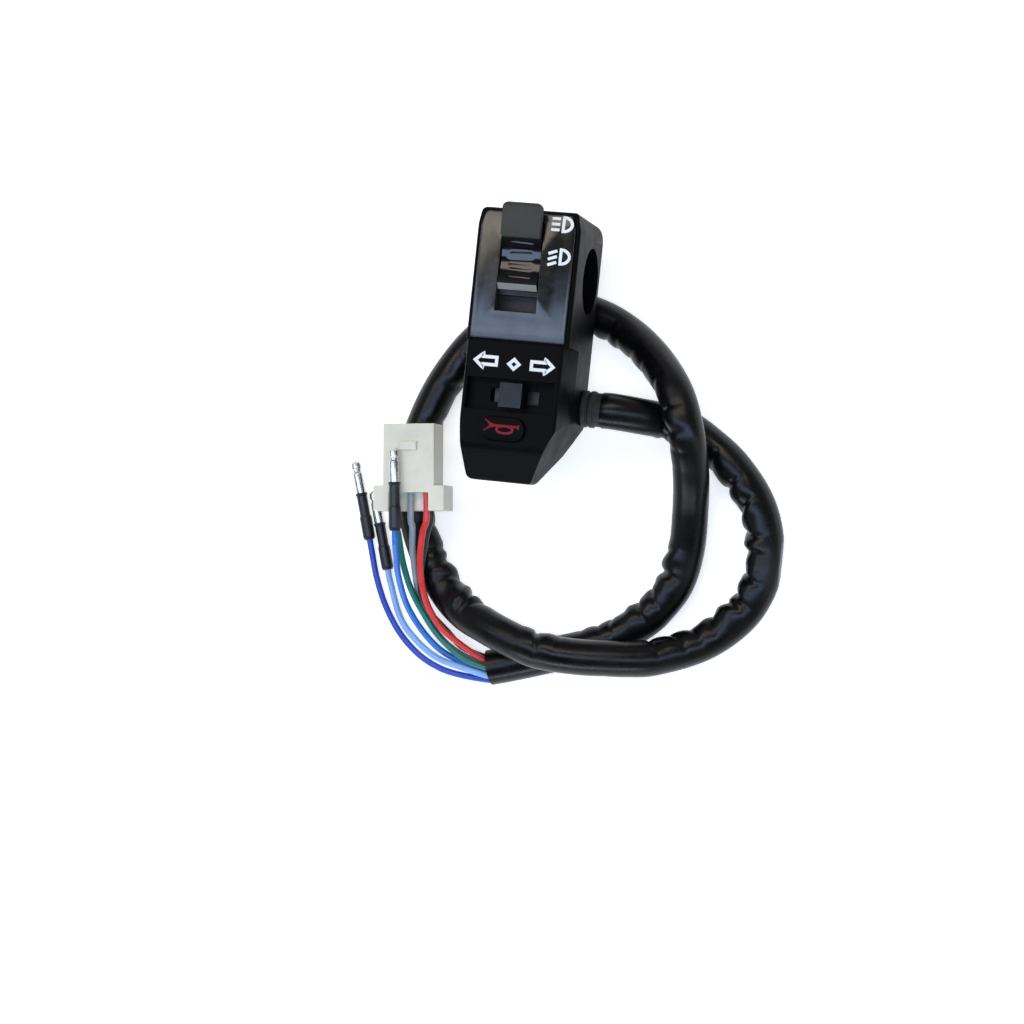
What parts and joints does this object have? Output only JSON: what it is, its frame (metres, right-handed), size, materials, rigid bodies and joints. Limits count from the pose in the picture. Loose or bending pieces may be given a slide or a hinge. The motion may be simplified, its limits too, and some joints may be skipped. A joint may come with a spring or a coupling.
{
  "type": "handlebar switch cluster",
  "caption": "Clamp-on handlebar switch case with a beam slide, a turn signal slide that pushes in to cancel, a horn button and a sleeved harness with connector and bullet ends.",
  "frame": {"origin": "centre of the handlebar bore, at the middle of the case's width", "axes": "+X along the handlebar, to the right as the rider's face is seen; +Y up the case towards the thumb pad; +Z out of the switch face"},
  "size_m": [0.1542, 0.1596, 0.0567],
  "materials": {
    "case_plastic": "fine moulded texture",
    "gloss_black": "polished",
    "pad_grey": "matt",
    "screw_steel": "zinc plated",
    "spring_steel": "drawn wire",
    "ball_steel": "polished",
    "carriage_nylon": "moulded",
    "phenolic": "pressed board",
    "contact_brass": "stamped",
    "grommet_rubber": "moulded",
    "lead_pvc": "extruded",
    "sleeve_pvc": "soft glossy sleeve",
    "wire_black": "extruded",
    "wire_red": "extruded",
    "wire_grey": "extruded",
    "wire_teal": "extruded",
    "wire_blue": "extruded",
    "wire_light_blue": "extruded",
    "wire_royal_blue": "extruded",
    "nylon": "natural, slightly translucent",
    "tinned_brass": "tinned",
    "boot_pvc": "soft boot"
  },
  "bodies": {
    "case": {"front_case": "case_plastic", "faceplate": "gloss_black", "rear_case": "case_plastic", "case_screws": "screw_steel", "dimmer_base": "phenolic", "dimmer_fixed_contacts": "contact_brass", "dimmer_base_screws": "screw_steel", "turn_base": "phenolic", "turn_fixed_contacts": "contact_brass", "turn_base_screws": "screw_steel", "horn_spring": "spring_steel", "horn_base": "phenolic", "horn_fixed_contacts": "contact_brass", "horn_base_screws": "screw_steel", "cable_grommet": "grommet_rubber", "dimmer_leads": "lead_pvc", "turn_leads": "lead_pvc", "horn_leads": "lead_pvc", "harness_sleeve": "sleeve_pvc", "wire_black": "wire_black", "wire_red": "wire_red", "wire_grey": "wire_grey", "wire_teal": "wire_teal", "wire_blue": "wire_blue", "wire_light_blue": "wire_light_blue", "wire_royal_blue": "wire_royal_blue", "connector_housing": "nylon", "connector_terminals": "contact_brass", "bullet_terminals": "tinned_brass", "bullet_boots": "boot_pvc"},
    "beam_slide": {"dimmer_slider": "gloss_black", "dimmer_thumb_pad": "pad_grey", "dimmer_carriage": "carriage_nylon", "dimmer_moving_contact": "contact_brass", "dimmer_detent_ball": "ball_steel", "dimmer_detent_spring": "spring_steel"},
    "turn_slide": {"turn_carriage": "carriage_nylon", "turn_moving_contact": "contact_brass", "turn_detent_ball": "ball_steel", "turn_detent_spring": "spring_steel", "turn_cancel_spring": "spring_steel"},
    "turn_push": {"turn_knob": "gloss_black"},
    "horn_push": {"horn_button": "gloss_black", "horn_contact_plate": "contact_brass"}
  },
  "joints": [
    {"name": "beam_select", "type": "slide", "parent": "case", "child": "beam_slide", "axis": [0, -1, 0], "range_m": [0, 0.0065]},
    {"name": "turn_select", "type": "slide", "parent": "case", "child": "turn_slide", "axis": [1, 0, 0], "range_m": [-0.005, 0.005]},
    {"name": "turn_cancel", "type": "slide", "parent": "turn_slide", "child": "turn_push", "axis": [0, 0, -1], "range_m": [0, 0.0015], "stiffness_N_per_m": 300, "springref_m": -0.002, "deforming": ["turn_cancel_spring"]},
    {"name": "horn_press", "type": "slide", "parent": "case", "child": "horn_push", "axis": [0, 0, -1], "range_m": [0, 0.0025], "stiffness_N_per_m": 400, "springref_m": -0.003, "deforming": ["horn_spring"]}
  ]
}
